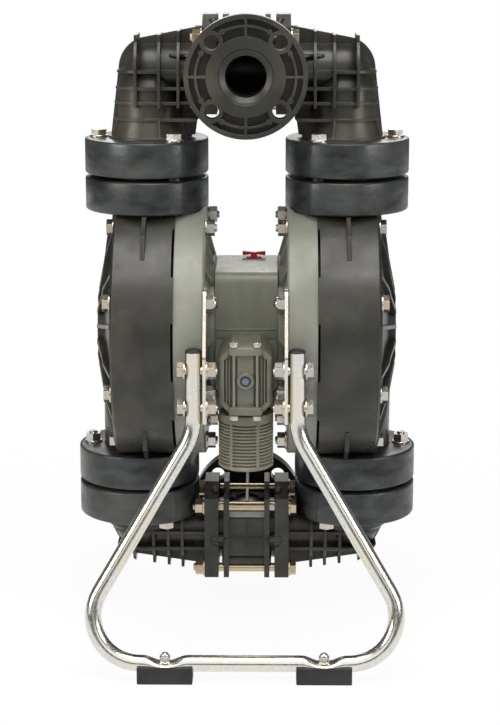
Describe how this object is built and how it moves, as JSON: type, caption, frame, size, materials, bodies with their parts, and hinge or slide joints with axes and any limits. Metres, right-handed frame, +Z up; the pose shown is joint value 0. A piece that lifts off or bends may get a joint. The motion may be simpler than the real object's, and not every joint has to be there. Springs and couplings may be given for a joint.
{
  "type": "air-operated double diaphragm pump",
  "caption": "Plastic double diaphragm pump with flanged manifolds above and below, a front air valve with muffler and a bent tube stand.",
  "frame": {"origin": "on the floor under the middle of the pump, between the stand's four feet", "axes": "+Z up, the discharge flange faces -Y, the suction flange faces +Y, the diaphragm shaft runs along X"},
  "size_m": [0.457, 0.572, 0.8215],
  "materials": {
    "black_plastic": "satin moulded",
    "ring_plastic": "satin moulded",
    "grey_plastic": "satin moulded",
    "body_grey": "satin moulded",
    "valve_grey": "satin moulded",
    "muffler_grey": "satin moulded",
    "valve_white": "turned",
    "diaphragm_rubber": "moulded",
    "seal_rubber": "moulded",
    "plate_metal": "cast",
    "shaft_steel": "ground",
    "tube_steel": "polished",
    "bolt_steel": "bright",
    "golden_steel": "zinc passivated",
    "plug_red": "moulded",
    "button_blue": "moulded"
  },
  "bodies": {
    "housing": {"air_cap_left": "grey_plastic", "air_cap_right": "grey_plastic", "air_valve_body": "valve_grey", "air_valve_cover": "valve_grey", "center_body": "body_grey", "diaphragm_left": "diaphragm_rubber", "diaphragm_right": "diaphragm_rubber", "discharge_cap_rings": "ring_plastic", "discharge_elbow_left": "black_plastic", "discharge_elbow_right": "black_plastic", "discharge_elbow_rings": "ring_plastic", "discharge_seat_left": "valve_white", "discharge_seat_right": "valve_white", "discharge_tee": "black_plastic", "fluid_cap_left": "black_plastic", "fluid_cap_right": "black_plastic", "foot_bolts": "bolt_steel", "foot_cap_nuts": "bolt_steel", "manifold_bolts": "golden_steel", "manifold_nuts": "golden_steel", "manifold_orings": "seal_rubber", "muffler": "muffler_grey", "plate_cap_nuts": "bolt_steel", "rim_bolts": "bolt_steel", "rim_nuts": "bolt_steel", "ring_bolts": "bolt_steel", "ring_nuts": "bolt_steel", "rubber_feet": "seal_rubber", "shaft_bushes": "valve_white", "stand_bolts": "bolt_steel", "stand_end_plugs": "seal_rubber", "stand_front": "tube_steel", "stand_nuts": "bolt_steel", "stand_plates": "tube_steel", "stand_rear": "tube_steel", "suction_cap_rings": "ring_plastic", "suction_elbow_left": "black_plastic", "suction_elbow_right": "black_plastic", "suction_elbow_rings": "ring_plastic", "suction_seat_left": "valve_white", "suction_seat_right": "valve_white", "suction_tee": "black_plastic", "valve_bolts": "bolt_steel"},
    "shaft": {"main_shaft": "shaft_steel", "inner_plate_left": "plate_metal", "inner_plate_right": "plate_metal", "outer_plate_left": "plate_metal", "outer_plate_right": "plate_metal"},
    "discharge_ball_l": {"discharge_ball_left": "valve_white"},
    "discharge_ball_r": {"discharge_ball_right": "valve_white"},
    "suction_ball_l": {"suction_ball_left": "valve_white"},
    "suction_ball_r": {"suction_ball_right": "valve_white"},
    "pilot": {"pilot_rod": "shaft_steel"},
    "valve_spool": {"spool": "shaft_steel"},
    "button": {"reset_button": "button_blue"},
    "inlet_plug": {"air_inlet_plug": "plug_red"}
  },
  "joints": [
    {"name": "shaft_stroke", "type": "slide", "parent": "housing", "child": "shaft", "axis": [1, 0, 0], "range_m": [-0.02, 0.02], "deforming": ["diaphragm_left", "diaphragm_right"]},
    {"name": "discharge_ball_lift_left", "type": "slide", "parent": "housing", "child": "discharge_ball_l", "axis": [0, 0, 1], "range_m": [0, 0.012]},
    {"name": "discharge_ball_lift_right", "type": "slide", "parent": "housing", "child": "discharge_ball_r", "axis": [0, 0, 1], "range_m": [0, 0.012]},
    {"name": "suction_ball_lift_left", "type": "slide", "parent": "housing", "child": "suction_ball_l", "axis": [0, 0, 1], "range_m": [0, 0.012]},
    {"name": "suction_ball_lift_right", "type": "slide", "parent": "housing", "child": "suction_ball_r", "axis": [0, 0, 1], "range_m": [0, 0.012]},
    {"name": "pilot_rod_slide", "type": "slide", "parent": "housing", "child": "pilot", "axis": [1, 0, 0], "range_m": [-0.004, 0.004]},
    {"name": "spool_slide", "type": "slide", "parent": "housing", "child": "valve_spool", "axis": [0, 0, 1], "range_m": [-0.004, 0.004]},
    {"name": "reset_button_push", "type": "slide", "parent": "housing", "child": "button", "axis": [0, 1, 0], "range_m": [0, 0.003], "stiffness_N_per_m": 400},
    {"name": "inlet_plug_pull", "type": "slide", "parent": "housing", "child": "inlet_plug", "axis": [0, 0, 1], "range_m": [0, 0.03]}
  ]
}
